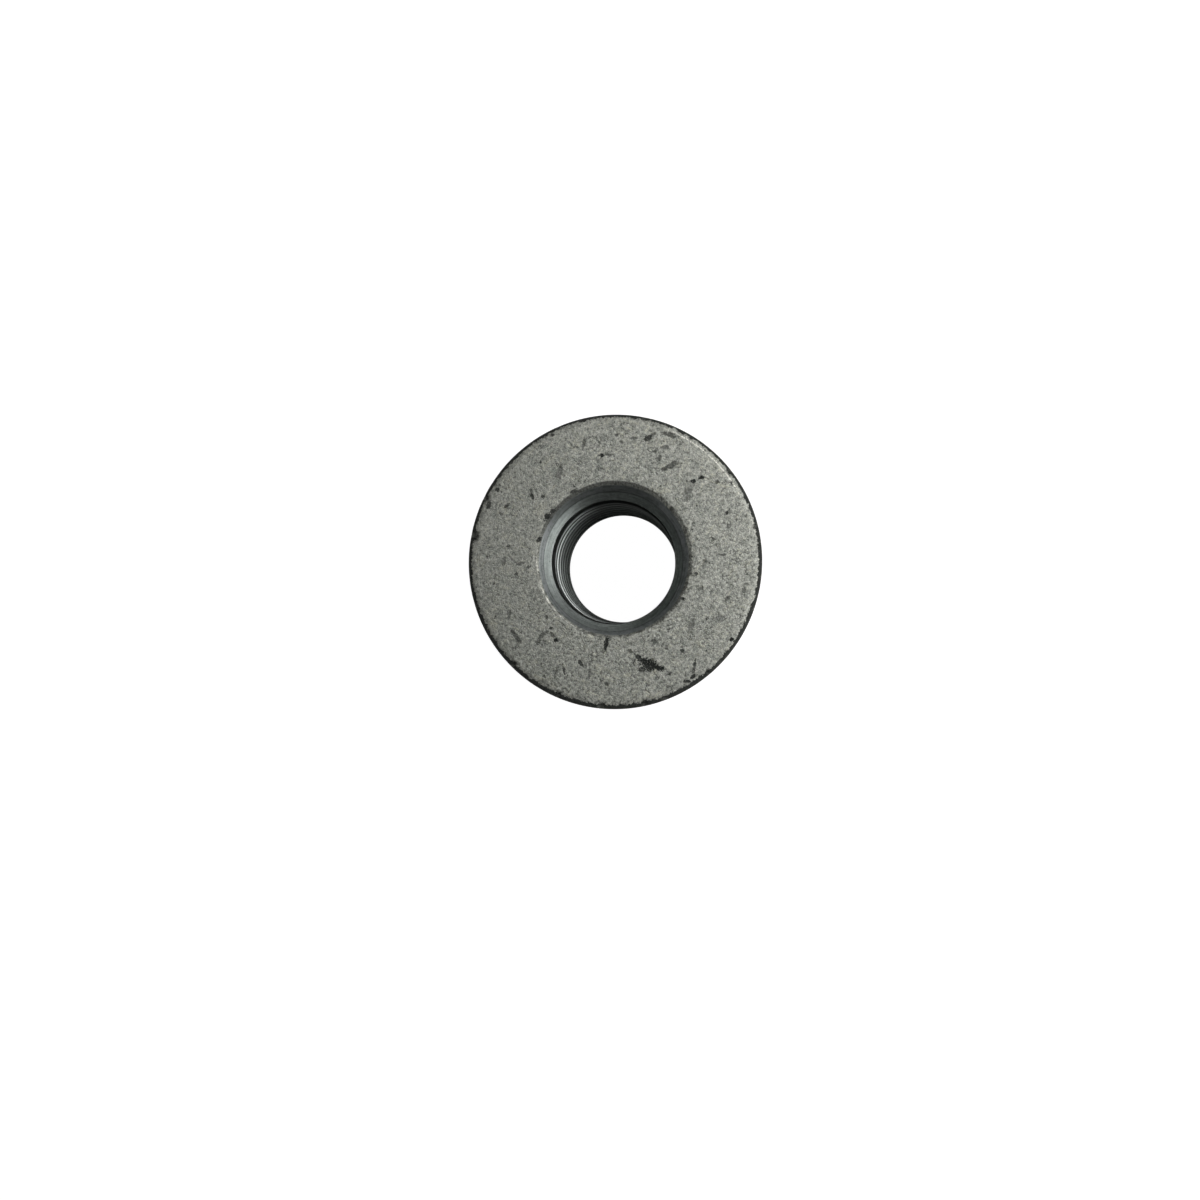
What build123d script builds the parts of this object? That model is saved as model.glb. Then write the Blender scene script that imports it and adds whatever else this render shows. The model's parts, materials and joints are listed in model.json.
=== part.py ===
from build123d import *
import os
from math import radians, tan

# Hexagon weld nut with flange, M14 x 1.5, forged in one piece, then drilled and tapped.
# Lengths are in millimetres and angles in degrees.
# The nut stands on the free end of its hexagon with the flange face up. The origin is at
# the centre of the hexagon's end, on the thread's axis, and +Z points out of the flange face.

# --- Driving dimensions ------------------------------------------------------------------

# Thread. The solid has the plain bore that the turns are cut into.
thread_diameter = 14.0
thread_pitch = 1.5

# Hexagon. Its end face stops short of the flats by the inset, where the chamfer starts.
nut_height = 14.0
across_flats = 21.0
hexagon_edge_radius = 0.4
end_face_inset = 0.5
end_chamfer_angle = 30.0

# Flange
flange_diameter = 29.3
flange_edge_thickness = 2.1
flange_back_angle = 20.0
flange_face_radius = 0.55
flange_back_chamfer = 0.3
flange_root_radius = 0.8

# Lead-in at the flange face: a machined cone that meets the bore, inside a forged cone
# whose mouth in the face lies a little off the thread's axis.
machined_cone_depth = 0.75
machined_cone_angle = 90.0
forged_cone_depth = 0.75
forged_cone_angle = 89.0
mouth_offset_x = 0.16
mouth_offset_y = 0.18
mouth_edge_radius = 0.15

# Countersink at the hexagon's end
end_cone_depth = 0.65
end_cone_angle = 120.0

# --- Dependent sizes ---------------------------------------------------------------------

# A 60 degree metric thread's minor diameter is its major diameter less 1.0825 pitches.
MINOR_DIAMETER_PITCHES = 1.0825
bore_radius = (thread_diameter - MINOR_DIAMETER_PITCHES * thread_pitch) / 2


def cone_spread(depth, angle):
    """How much a cone of this full angle gains in radius over this depth."""
    return depth * tan(radians(angle / 2))


flats_radius = across_flats / 2
end_face_radius = flats_radius - end_face_inset
flange_radius = flange_diameter / 2
flange_back_height = nut_height - flange_edge_thickness
forged_cone_height = nut_height - forged_cone_depth
machined_cone_height = forged_cone_height - machined_cone_depth
lead_in_radius = bore_radius + cone_spread(machined_cone_depth, machined_cone_angle)
mouth_radius = lead_in_radius + cone_spread(forged_cone_depth, forged_cone_angle)
end_cone_radius = bore_radius + cone_spread(end_cone_depth, end_cone_angle)

# --- Parts of the solid ------------------------------------------------------------------


def turned(*points):
    """Solid turned about Z from a closed section of (radius, height) points."""
    section = Plane.XZ * make_face(Polyline(*points, close=True))
    return revolve(section, Axis.Z)


def flange():
    """Round flange with a flat face, eased edges and a conical back that runs in to the axis."""
    back_drop = flange_radius * tan(radians(flange_back_angle))
    disc = turned(
        (0, flange_back_height - back_drop),
        (flange_radius, flange_back_height),
        (flange_radius, nut_height),
        (0, nut_height),
    )
    rims = disc.edges().filter_by(GeomType.CIRCLE).sort_by(Axis.Z)
    disc = chamfer(rims[0], flange_back_chamfer)
    face_edge = disc.edges().filter_by(GeomType.CIRCLE).sort_by(Axis.Z)[-1]
    return fillet(face_edge, flange_face_radius)


def chamfer_envelope():
    """Round body that widens upward from the end face and takes off the hexagon's corners."""
    reach = across_flats
    rise = reach * tan(radians(end_chamfer_angle))
    return turned(
        (0, 0),
        (end_face_radius, 0),
        (end_face_radius + reach, rise),
        (end_face_radius + reach, rise + nut_height),
        (0, rise + nut_height),
    )


def hexagon():
    """Hexagonal prism up into the flange, with eased edges and a chamfered free end."""
    outline = RegularPolygon(flats_radius, 6, major_radius=False)
    outline = fillet(outline.vertices(), hexagon_edge_radius)
    return extrude(outline, flange_back_height) & chamfer_envelope()


def blank():
    """The forging: flange and hexagon, with a fillet where the flats run out on the flange."""
    disc = flange()
    prism = hexagon()
    body = disc + prism
    root = new_edges(disc, prism, combined=body)
    return fillet(root, flange_root_radius)


def bore():
    """What drilling and countersinking take out: bore, machined cone and end countersink."""
    return turned(
        (0, 0),
        (end_cone_radius, 0),
        (bore_radius, end_cone_depth),
        (bore_radius, machined_cone_height),
        (lead_in_radius, forged_cone_height),
        (0, forged_cone_height),
    )


def mouth():
    """Forged cone from the machined cone's edge out to its offset mouth in the flange face."""
    inner = Pos(0, 0, forged_cone_height) * Circle(lead_in_radius)
    outer = Pos(mouth_offset_x, mouth_offset_y, nut_height) * Circle(mouth_radius)
    return loft([inner, outer], ruled=True)


def weld_nut():
    """The finished nut, with the edge of its mouth eased."""
    nut = blank() - bore() - mouth()
    face = nut.faces().sort_by(Axis.Z)[-1]
    mouth_edge = face.edges().sort_by(SortBy.LENGTH)[0]
    return fillet(mouth_edge, mouth_edge_radius)


os.makedirs("parts", exist_ok=True)
export_step(weld_nut(), "parts/weld_nut.step")
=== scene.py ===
"""Looks of a hexagon weld nut: a plated forging with a tapped bore, in a plain white studio.

The shapes are worked out in millimetres and brought to metres once each mesh is whole.
"""

import json
import logging
from dataclasses import dataclass
from enum import Enum
from functools import partial, reduce
from math import atan2, cos, degrees, hypot, pi, radians, sin, sqrt, tan
from typing import ClassVar, Union

import bmesh
import bpy
from bmesh.types import BMEdge, BMesh, BMVert
from bpy.types import Material, Node, NodeSocket, NodeTree, Object
from mathutils import Matrix, Vector, noise


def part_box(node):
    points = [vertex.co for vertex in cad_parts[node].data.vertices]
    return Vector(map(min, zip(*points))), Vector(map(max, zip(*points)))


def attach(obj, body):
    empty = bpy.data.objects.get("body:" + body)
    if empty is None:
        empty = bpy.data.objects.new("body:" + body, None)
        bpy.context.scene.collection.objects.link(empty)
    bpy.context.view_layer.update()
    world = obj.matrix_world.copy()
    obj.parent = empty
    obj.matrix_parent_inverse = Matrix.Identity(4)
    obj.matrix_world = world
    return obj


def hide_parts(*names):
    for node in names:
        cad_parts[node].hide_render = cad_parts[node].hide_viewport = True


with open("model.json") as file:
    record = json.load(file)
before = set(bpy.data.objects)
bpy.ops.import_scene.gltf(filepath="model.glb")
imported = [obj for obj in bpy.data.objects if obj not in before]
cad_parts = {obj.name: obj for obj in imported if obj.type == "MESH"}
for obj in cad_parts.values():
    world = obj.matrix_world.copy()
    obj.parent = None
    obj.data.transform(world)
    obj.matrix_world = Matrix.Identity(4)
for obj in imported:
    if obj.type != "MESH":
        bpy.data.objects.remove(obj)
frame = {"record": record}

LOG = logging.getLogger("weld_nut")

MM = 0.001
TO_MM = 1000.0
NUT_NODE = "weld_nut"
NUT_BODY = "root"

MERGED = 1e-4  # points closer together than this, in millimetres, are made one
NEAR = 1e-3  # a point this near to a ring or a level, in millimetres, is on it
HALF_SIDE = 30.0  # half the angle that a side of a hexagon takes up round the axis, in degrees

Value = Union[float, tuple, NodeSocket]


class Surface(Enum):
    """The two surfaces of the nut, by their place among its materials."""

    FORGED = 0
    MACHINED = 1


def eased(value: float, low: float, high: float) -> float:
    """Smooth step of a value between two limits.

    Args:
        value: the number to place between the limits.
        low: where the step starts.
        high: where the step is complete.

    Returns:
        0 at or before low, 1 at or past high, and an S-shaped rise between them.
    """
    share = min(max((value - low) / (high - low), 0.0), 1.0)
    return share * share * (3.0 - 2.0 * share)


def turn_between(first: float, second: float) -> float:
    """The smaller angle between two directions, in degrees.

    Args:
        first: one direction in degrees.
        second: the other direction in degrees.

    Returns:
        The angle between them, from 0 to 180 degrees.
    """
    return abs((first - second + 180.0) % 360.0 - 180.0)


def noise_share(place: Vector) -> float:
    """Noise at a place, from 0 to 1."""
    return 0.5 + 0.5 * noise.noise(place)


def cone_spread(depth: float, angle: float) -> float:
    """How much a cone of this full angle, in degrees, gains in radius over this depth."""
    return depth * tan(radians(angle / 2))


def mesh_object(bm: BMesh, name: str) -> Object:
    """Free a bmesh into a new object of the scene.

    Args:
        bm: the finished shape.
        name: the name of the object and its mesh.

    Returns:
        The new object, at the origin.
    """
    mesh = bpy.data.meshes.new(name)
    bm.to_mesh(mesh)
    bm.free()
    thing = bpy.data.objects.new(name, mesh)
    bpy.context.scene.collection.objects.link(thing)
    return thing


# --- Shapes ------------------------------------------------------------------------------


@dataclass(frozen=True)
class NutSizes:
    """The nut's sizes in millimetres, with the overall ones taken from the frame."""

    height: float
    flange_radius: float
    bore_radius: float
    thread_radius: float = 7.0
    thread_pitch: float = 1.5
    thread_half_angle: float = 30.0
    flats_radius: float = 10.5
    hexagon_edge_radius: float = 0.4
    end_face_radius: float = 10.0
    end_chamfer_angle: float = 30.0
    end_cone_depth: float = 0.65
    end_cone_angle: float = 120.0
    flange_edge_thickness: float = 2.1
    flange_back_angle: float = 20.0
    flange_back_chamfer: float = 0.3
    flange_face_radius: float = 0.55
    flange_root_radius: float = 0.8
    machined_cone_depth: float = 0.75
    machined_cone_angle: float = 90.0
    forged_cone_depth: float = 0.75
    forged_cone_angle: float = 89.0
    mouth_offset: tuple = (0.16, 0.18)
    mouth_edge_radius: float = 0.15

    @classmethod
    def from_frame(cls) -> "NutSizes":
        """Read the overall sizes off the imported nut.

        Returns:
            The nut's sizes, with the height and flange from its box and the bore from its mount.
        """
        low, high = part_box(NUT_NODE)
        mounts = {mount["name"]: mount for mount in frame["record"]["mounts"]}
        return cls(
            height=high.z * TO_MM,
            flange_radius=(high.y - low.y) * TO_MM / 2,
            bore_radius=mounts["thread"]["dims"]["r_mm"],
        )

    @property
    def lead_in_radius(self) -> float:
        """Radius where the machined cone ends and the forged cone starts."""
        return self.bore_radius + cone_spread(self.machined_cone_depth, self.machined_cone_angle)

    @property
    def mouth_radius(self) -> float:
        """Radius of the forged cone's mouth in the flange face."""
        return self.lead_in_radius + cone_spread(self.forged_cone_depth, self.forged_cone_angle)

    @property
    def end_cone_radius(self) -> float:
        """Radius of the countersink in the hexagon's end face."""
        return self.bore_radius + cone_spread(self.end_cone_depth, self.end_cone_angle)

    @property
    def lead_in_height(self) -> float:
        """Height where the machined cone ends and the forged cone starts."""
        return self.height - self.forged_cone_depth

    @property
    def thread_top(self) -> float:
        """Height where the machined cone meets the bore."""
        return self.lead_in_height - self.machined_cone_depth

    @property
    def back_height(self) -> float:
        """Height of the flange's back at its rim."""
        return self.height - self.flange_edge_thickness

    def back_at(self, radius: float) -> float:
        """Height of the flange's conical back at this radius."""
        return self.back_height - (self.flange_radius - radius) * tan(radians(self.flange_back_angle))

    def chamfer_at(self, radius: float) -> float:
        """Height of the hexagon's end chamfer at this radius."""
        return (radius - self.end_face_radius) * tan(radians(self.end_chamfer_angle))

    def hexagon_at(self, angle: float) -> float:
        """Distance from the axis to the hexagon's side, whose edges are rounded.

        Args:
            angle: the direction in degrees, with an edge of the hexagon at 0.

        Returns:
            The distance in that direction.
        """
        half_side = radians(HALF_SIDE)
        edge = self.hexagon_edge_radius
        off_edge = radians((angle + HALF_SIDE) % (2 * HALF_SIDE) - HALF_SIDE)
        edge_centre = (self.flats_radius - edge) / cos(half_side)
        round_reach = atan2(edge * sin(half_side), edge_centre + edge * cos(half_side))
        if abs(off_edge) >= round_reach:
            return self.flats_radius / cos(half_side - abs(off_edge))
        aside = edge_centre * sin(off_edge)
        return edge_centre * cos(off_edge) + sqrt(edge**2 - aside**2)


@dataclass(frozen=True)
class Scar:
    """A dent, nick or stain in the flange face: where it is, how large, how deep and how dark.

    The place and sizes are in millimetres, the turn from +X in degrees, and the stain from 0 to 1.
    """

    x: float
    y: float
    length: float
    width: float
    turn: float = 0.0
    depth: float = 0.03
    stain: float = 0.8

    # Shares of the half size between which a scar fades out
    CORE: ClassVar[float] = 0.3
    FRINGE: ClassVar[float] = 1.1

    def cover(self, x: float, y: float) -> float:
        """How much of this scar is at a point of the face.

        Args:
            x: the point's place along X.
            y: the point's place along Y.

        Returns:
            From 0 outside the scar to 1 in its middle.
        """
        right, up = x - self.x, y - self.y
        if abs(right) + abs(up) > self.length:
            return 0.0
        turn = radians(self.turn)
        along = (right * cos(turn) + up * sin(turn)) / self.length * 2
        across = (up * cos(turn) - right * sin(turn)) / self.width * 2
        return 1.0 - eased(hypot(along, across), self.CORE, self.FRINGE)


@dataclass(frozen=True)
class Chip:
    """A bite out of the flange's rim: its direction and reach in degrees, its sizes in millimetres."""

    angle: float
    reach: float
    inward: float
    depth: float

    # Shares of the reach between which a chip fades out
    CORE: ClassVar[float] = 0.25
    FRINGE: ClassVar[float] = 0.6

    def cover(self, angle: float, fray: float) -> float:
        """How much of this chip is in a direction, from 0 to 1, with its edge frayed by some degrees."""
        off = turn_between(angle, self.angle) + fray
        return 1.0 - eased(off, self.CORE * self.reach, self.FRINGE * self.reach)


SCARS: tuple[Scar, ...] = (
    # The torn patch below the bore, with its tails
    Scar(3.65, -10.15, 1.85, 1.05, -18, 0.07, 1.0),
    Scar(4.65, -10.5, 1.3, 0.4, -10, 0.04, 1.0),
    Scar(2.75, -9.55, 1.1, 0.4, -42, 0.04, 0.9),
    Scar(3.0, -10.6, 0.8, 0.4, 12, 0.03, 0.8),
    # Nicks and stains below the bore and to its right
    Scar(-0.55, -8.15, 1.5, 0.34, 76, 0.04, 0.95),
    Scar(8.1, -10.3, 1.3, 0.13, 82, 0.03, 0.75),
    Scar(7.95, -11.3, 0.5, 0.24, 60, 0.04, 0.9),
    Scar(7.3, -11.75, 0.75, 0.17, -4, 0.03, 0.85),
    Scar(8.05, -10.1, 0.22, 0.22, 0, 0.03, 0.8),
    Scar(11.7, -7.7, 0.4, 0.28, 10, 0.05, 1.0),
    Scar(11.3, -3.7, 0.5, 0.25, 40, 0.03, 0.55),
    Scar(8.25, -1.3, 0.26, 0.24, 0, 0.03, 0.7),
    Scar(6.95, -3.75, 0.3, 0.24, 0, 0.04, 0.9),
    Scar(6.9, -8.75, 0.3, 0.24, -30, 0.03, 0.8),
    Scar(5.35, -8.5, 0.3, 0.2, -20, 0.02, 0.55),
    Scar(4.25, -7.9, 0.6, 0.3, -25, 0.03, 0.6),
    Scar(5.6, -6.7, 0.22, 0.18, 0, 0.02, 0.6),
    Scar(1.8, -8.85, 0.5, 0.3, -30, 0.03, 0.6),
    Scar(-0.5, -12.1, 0.26, 0.24, 0, 0.02, 0.6),
    Scar(7.8, -6.3, 1.9, 0.45, 82, 0.02, 0.32),
    Scar(10.6, -5.6, 0.9, 0.6, -50, 0.02, 0.3),
    Scar(12.85, -2.9, 0.7, 0.25, 88, 0.02, 0.4),
    Scar(8.7, -2.75, 0.5, 0.22, 30, 0.02, 0.4),
    Scar(10.9, 0.55, 0.6, 0.14, 5, 0.02, 0.5),
    Scar(9.1, -0.2, 0.8, 0.3, 70, 0.02, 0.3),
    # Nicks and stains above the bore and to its right
    Scar(3.6, 12.1, 1.0, 0.42, 24, 0.05, 0.8),
    Scar(4.1, 12.45, 0.7, 0.2, 20, 0.02, 0.5),
    Scar(5.9, 9.35, 1.5, 0.45, 24, 0.04, 0.55),
    Scar(5.2, 9.0, 0.6, 0.28, 15, 0.03, 0.6),
    Scar(4.7, 10.1, 0.55, 0.4, 40, 0.02, 0.4),
    Scar(5.8, 12.35, 1.3, 0.4, -18, 0.03, 0.5),
    Scar(5.3, 11.1, 0.9, 0.3, 0, 0.02, 0.35),
    Scar(-0.95, 10.5, 0.6, 0.2, 6, 0.04, 0.95),
    Scar(-0.3, 10.55, 0.8, 0.13, 2, 0.03, 0.6),
    Scar(8.8, 8.1, 0.65, 0.24, 24, 0.05, 1.0),
    Scar(8.0, 7.75, 0.4, 0.22, 20, 0.05, 0.95),
    Scar(10.3, 7.65, 0.35, 0.2, 50, 0.03, 0.6),
    Scar(11.25, 4.6, 0.3, 0.22, 80, 0.03, 0.85),
    Scar(0.45, 12.45, 0.3, 0.22, 30, 0.03, 0.6),
    Scar(1.0, 11.8, 0.3, 0.22, 0, 0.03, 0.55),
    Scar(2.15, 12.15, 0.6, 0.22, 0, 0.02, 0.4),
    Scar(7.4, 6.6, 1.5, 0.7, 60, 0.02, 0.25),
    # Left of the bore
    Scar(-2.8, 11.7, 1.2, 0.28, 78, 0.02, 0.45),
    Scar(-5.2, 9.0, 1.5, 0.5, 76, 0.03, 0.4),
    Scar(-8.0, 6.55, 0.6, 0.24, -58, 0.04, 0.85),
    Scar(-8.1, 7.1, 0.4, 0.2, -75, 0.02, 0.5),
    Scar(-10.6, 5.65, 0.55, 0.2, 36, 0.04, 0.8),
    Scar(-11.2, 4.9, 0.5, 0.2, -30, 0.02, 0.45),
    Scar(-12.45, 5.75, 0.85, 0.5, 66, 0.05, 0.8),
    Scar(-11.6, 7.3, 0.45, 0.3, 10, 0.04, 0.8),
    Scar(-10.9, 0.1, 0.8, 0.4, 80, 0.02, 0.3),
    Scar(-9.2, -0.15, 0.8, 0.16, 10, 0.02, 0.4),
    Scar(-9.6, -1.2, 0.26, 0.22, 0, 0.03, 0.7),
    Scar(-10.3, -5.2, 0.9, 0.3, 84, 0.02, 0.4),
    Scar(-9.6, -7.5, 1.7, 0.28, -52, 0.03, 0.65),
    Scar(-6.9, -7.3, 1.2, 0.3, 35, 0.02, 0.5),
    Scar(-7.3, -7.9, 0.7, 0.2, 80, 0.02, 0.5),
    Scar(-5.55, -7.85, 0.36, 0.28, -40, 0.05, 1.0),
    Scar(-5.9, -7.3, 0.5, 0.26, -55, 0.03, 0.7),
    Scar(-3.1, -10.05, 0.75, 0.26, -46, 0.04, 0.8),
    Scar(-4.75, -10.8, 0.65, 0.2, -82, 0.04, 0.8),
    Scar(-5.5, -10.9, 0.5, 0.2, 80, 0.02, 0.4),
    Scar(-2.2, -11.2, 0.9, 0.16, 84, 0.02, 0.5),
    Scar(-6.5, -5.5, 0.24, 0.2, 0, 0.02, 0.5),
    # Tears at the edge of the mouth
    Scar(-6.45, 4.5, 0.75, 0.5, 45, 0.06, 0.95),
    Scar(-5.9, 5.05, 0.5, 0.3, 40, 0.04, 0.9),
    Scar(-7.3, 2.2, 0.6, 0.34, 62, 0.05, 0.95),
    Scar(-3.8, 6.95, 0.7, 0.3, 28, 0.04, 0.8),
)

CHIPS: tuple[Chip, ...] = (
    Chip(169, 3.6, 0.75, 0.42),
    Chip(153, 2.6, 0.5, 0.3),
    Chip(147, 1.6, 0.35, 0.25),
    Chip(226, 1.8, 0.6, 0.4),
    Chip(248, 1.4, 0.55, 0.35),
    Chip(266, 3.2, 0.5, 0.3),
    Chip(283, 2.4, 0.5, 0.3),
    Chip(291, 3.0, 0.35, 0.25),
    Chip(311, 1.6, 0.4, 0.3),
    Chip(317, 3.4, 0.3, 0.2),
    Chip(13, 1.4, 0.45, 0.3),
    Chip(6, 1.2, 0.4, 0.25),
    Chip(37, 2.6, 0.4, 0.25),
    Chip(77, 3.2, 0.3, 0.2),
    Chip(112, 2.4, 0.25, 0.2),
    Chip(197, 4.0, 0.2, 0.2),
)


@dataclass
class Blank:
    """The forged blank, turned about the axis, with its hexagon, its plain bore and its wear.

    Lengths are in millimetres and the chips' fray is in degrees. A larger scale makes finer noise.
    """

    sizes: NutSizes

    # How finely the surface is divided
    columns: int = 720
    face_rings: int = 48
    cone_rings: int = 4
    fillet_segments: int = 6
    rim_segments: int = 8
    mouth_segments: int = 4
    chamfer_segments: int = 3
    end_segments: int = 2

    # How far from the mouth and from the axis the face starts and stops leaning with the mouth
    lean_start: float = 0.3
    lean_reach: float = 10.5

    # Forms that the plain solid leaves out
    lead_edge: float = 0.08
    relief: float = 0.12
    relief_depth: float = 1.5
    relief_run_out: float = 0.24
    end_edge: float = 0.08

    # Where the tools' cuts start, below the face and inside the end's countersink
    skin_depth: float = 0.3
    end_margin: float = 0.05
    end_skin: float = 0.01

    # Wear of the face, down to a little below its rounded edges
    wear_margin: float = 0.02
    ripple: float = 0.03
    ripple_scale: float = 0.35
    grain_depth: float = 0.012
    grain_scales: tuple = (4.0, 8.0)
    scar_fray: float = 0.22
    scar_fray_scale: float = 3.5
    fray_seed: int = 7

    # Wear of the mouth's edge
    mouth_wear: float = 0.06
    mouth_burr: float = 0.07
    burr_scale: float = 4.5
    burr_shift: tuple = (3.0, 7.0, 0.0)
    burr_fade: tuple = (0.12, 0.4)

    # Wear of the rim's edge, which fades in between two distances from the rim
    edge_reach: float = 1.1
    edge_fade: tuple = (0.95, 0.15)
    edge_wear: float = 0.1
    edge_roll_scale: float = 9.0
    edge_fret: float = 0.7
    edge_fret_scale: float = 34.0
    chip_fray: float = 1.2
    chip_fray_scale: float = 60.0
    chip_margin: float = 0.25
    chip_slope: float = 0.45
    pushed_in: float = 0.25

    def build(self) -> BMesh:
        """Turn the section, shape the hexagon, ease the edges and wear the surface.

        Returns:
            The closed blank, in millimetres.
        """
        bm = bmesh.new()
        self._turn_section(bm)
        root = self._shape_hexagon(bm)
        self._ease_edges(bm, root)
        self._lay_face_rings(bm)
        self._lean_mouth(bm)
        self._wear(bm)
        self._mark_surfaces(bm)
        bmesh.ops.recalc_face_normals(bm, faces=bm.faces)
        return bm

    def _section(self) -> list[tuple[float, float]]:
        """Corners of the closed section, from the end face round to the bore.

        Returns:
            The corners as (radius, height).
        """
        s = self.sizes
        relieved = s.bore_radius + self.relief
        relief_end = s.thread_top - self.relief_depth
        return [
            (s.end_cone_radius, 0.0),
            (s.end_face_radius, 0.0),
            (s.flats_radius, s.chamfer_at(s.flats_radius)),
            (s.flats_radius, s.back_at(s.flats_radius)),
            (s.flange_radius, s.back_height),
            (s.flange_radius, s.height),
            (s.mouth_radius, s.height),
            (s.lead_in_radius, s.lead_in_height),
            (s.bore_radius + self.lead_edge, s.thread_top + self.lead_edge),
            (relieved, s.thread_top - self.lead_edge),
            (relieved, relief_end),
            (s.bore_radius, relief_end - self.relief_run_out),
            (s.bore_radius, s.end_cone_depth),
        ]

    def _turn_section(self, bm: BMesh) -> None:
        """Spin the section into a closed ring.

        Args:
            bm: the empty bmesh that the blank grows in.
        """
        verts = [bm.verts.new((radius, 0.0, height)) for radius, height in self._section()]
        edges = [bm.edges.new(pair) for pair in zip(verts, verts[1:] + verts[:1])]
        bmesh.ops.spin(
            bm, geom=verts + edges, cent=(0, 0, 0), axis=(0, 0, 1), dvec=(0, 0, 0),
            angle=2 * pi, steps=self.columns, use_merge=True, use_duplicate=False,
        )
        bmesh.ops.remove_doubles(bm, verts=bm.verts, dist=MERGED)
        bmesh.ops.recalc_face_normals(bm, faces=bm.faces)

    def _ring(self, bm: BMesh, radius: float, height: float) -> list[BMVert]:
        """Vertices of the ring at this radius and height."""
        return [
            v for v in bm.verts
            if abs(hypot(v.co.x, v.co.y) - radius) < NEAR and abs(v.co.z - height) < NEAR
        ]

    @staticmethod
    def _edges_within(verts: list[BMVert]) -> list[BMEdge]:
        """Edges that join two of these vertices, in the same order each time."""
        chosen = set(verts)
        return list(dict.fromkeys(e for v in verts for e in v.link_edges if e.other_vert(v) in chosen))

    def _shape_hexagon(self, bm: BMesh) -> list[BMVert]:
        """Spread the barrel's two rings out to the hexagon, the lower on the chamfer, the upper on the back.

        Args:
            bm: the turned blank.

        Returns:
            The upper ring, at the root of the flange.
        """
        s = self.sizes
        lower = self._ring(bm, s.flats_radius, s.chamfer_at(s.flats_radius))
        upper = self._ring(bm, s.flats_radius, s.back_at(s.flats_radius))
        for ring, height_at in ((lower, s.chamfer_at), (upper, s.back_at)):
            for v in ring:
                angle = atan2(v.co.y, v.co.x)
                radius = s.hexagon_at(degrees(angle))
                v.co = (radius * cos(angle), radius * sin(angle), height_at(radius))
        return upper

    def _bevel(self, bm: BMesh, verts: list[BMVert], reach: float, segments: int) -> None:
        """Round the loop of edges through these vertices.

        Args:
            bm: the blank.
            verts: the ring of vertices on the edge.
            reach: how far the rounding goes into the faces beside the edge.
            segments: the number of steps round it.
        """
        bmesh.ops.bevel(
            bm, geom=self._edges_within(verts), offset=reach, offset_type="OFFSET",
            affect="EDGES", segments=segments, profile=0.5, material=-1, clamp_overlap=False,
        )

    def _ease_edges(self, bm: BMesh, root: list[BMVert]) -> None:
        """Round the root of the hexagon, the flange's rim and the edges of the mouth and the end face.

        Args:
            bm: the blank with its hexagon.
            root: the vertices where the hexagon runs out on the flange.
        """
        s = self.sizes
        root_reach = s.flange_root_radius / tan(radians((90.0 + s.flange_back_angle) / 2))
        mouth_radius = s.mouth_edge_radius + self.mouth_wear
        mouth_reach = mouth_radius * tan(radians((90.0 - s.forged_cone_angle / 2) / 2))
        self._bevel(bm, root, root_reach, self.fillet_segments)
        rim_low = self._ring(bm, s.flange_radius, s.back_height)
        self._bevel(bm, rim_low, s.flange_back_chamfer, self.chamfer_segments)
        rim_high = self._ring(bm, s.flange_radius, s.height)
        self._bevel(bm, rim_high, s.flange_face_radius, self.rim_segments)
        self._bevel(bm, self._ring(bm, s.mouth_radius, s.height), mouth_reach, self.mouth_segments)
        for radius in (s.end_face_radius, s.end_cone_radius):
            self._bevel(bm, self._ring(bm, radius, 0.0), self.end_edge, self.end_segments)

    def _lay_face_rings(self, bm: BMesh) -> None:
        """Divide the face and the forged cone into rings close enough to carry their dents.

        Args:
            bm: the blank with its rounded edges.
        """
        s = self.sizes
        spokes = [
            e for e in bm.edges
            if min(v.co.z for v in e.verts) > s.height - NEAR and e.calc_length() > s.flange_radius / 4
        ]
        bmesh.ops.subdivide_edges(bm, edges=spokes, cuts=self.face_rings - 1, use_grid_fill=True)
        slants = [
            e for v in self._ring(bm, s.lead_in_radius, s.lead_in_height) for e in v.link_edges
            if max(w.co.z for w in e.verts) > s.lead_in_height + NEAR
        ]
        bmesh.ops.subdivide_edges(bm, edges=slants, cuts=self.cone_rings - 1, use_grid_fill=True)

    def _lean_mouth(self, bm: BMesh) -> None:
        """Shift the mouth off the thread's axis, as the forging has it, and the face about it less and less.

        Args:
            bm: the blank with its face rings.
        """
        s = self.sizes
        offset = Vector((*s.mouth_offset, 0.0))
        for v in bm.verts:
            radius = hypot(v.co.x, v.co.y)
            if v.co.z > s.lead_in_height + NEAR and radius < self.lean_reach:
                rise = min((v.co.z - s.lead_in_height) / s.forged_cone_depth, 1.0)
                kept = eased(radius, s.mouth_radius + self.lean_start, self.lean_reach)
                v.co += offset * rise * (1.0 - kept)

    def _wear(self, bm: BMesh) -> None:
        """Sink the scars, chips and grain into the face and its edge. Nothing moves outward.

        Args:
            bm: the blank before its thread is cut.
        """
        s = self.sizes
        noise.seed_set(self.fray_seed)
        for v in bm.verts:
            radius = hypot(v.co.x, v.co.y)
            at_edge = radius > s.flange_radius - self.edge_reach
            depth = s.flange_face_radius if at_edge else s.mouth_edge_radius
            if v.co.z < s.height - depth - self.wear_margin:
                continue
            drop = self._drop_at(Vector((v.co.x, v.co.y, 0.0)))
            if at_edge:
                self._wear_edge(v, radius, drop)
            else:
                v.co.z -= drop

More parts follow.
